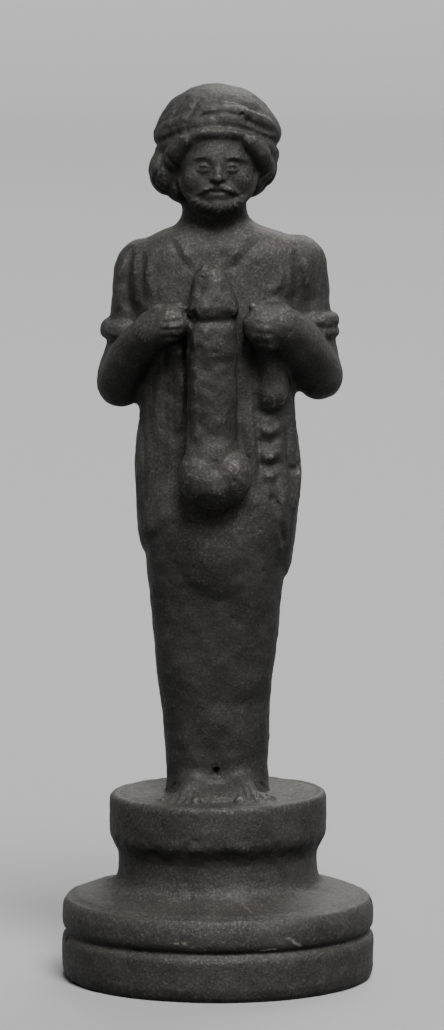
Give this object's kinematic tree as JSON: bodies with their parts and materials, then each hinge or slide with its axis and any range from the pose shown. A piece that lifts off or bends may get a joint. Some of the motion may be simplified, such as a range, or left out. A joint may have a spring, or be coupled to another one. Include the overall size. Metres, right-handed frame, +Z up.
{
  "type": "priapus figure",
  "caption": "Bearded herm figure in a headcloth and tunic, holding an upright phallus to the chest, on a round moulded plinth.",
  "frame": {"origin": "centre of the plinth's flat underside", "axes": "+Z up through the figure; the figure faces -Y; +X is the viewer's right, the figure's left"},
  "size_m": [0.0524, 0.0524, 0.1499],
  "materials": {
    "bronze": "cast bronze with a dark, near-neutral brown-black patina, semi-gloss, with fine pits and paler rubbed edges"
  },
  "bodies": {
    "root": {"figure_with_plinth": "bronze"}
  },
  "joints": []
}
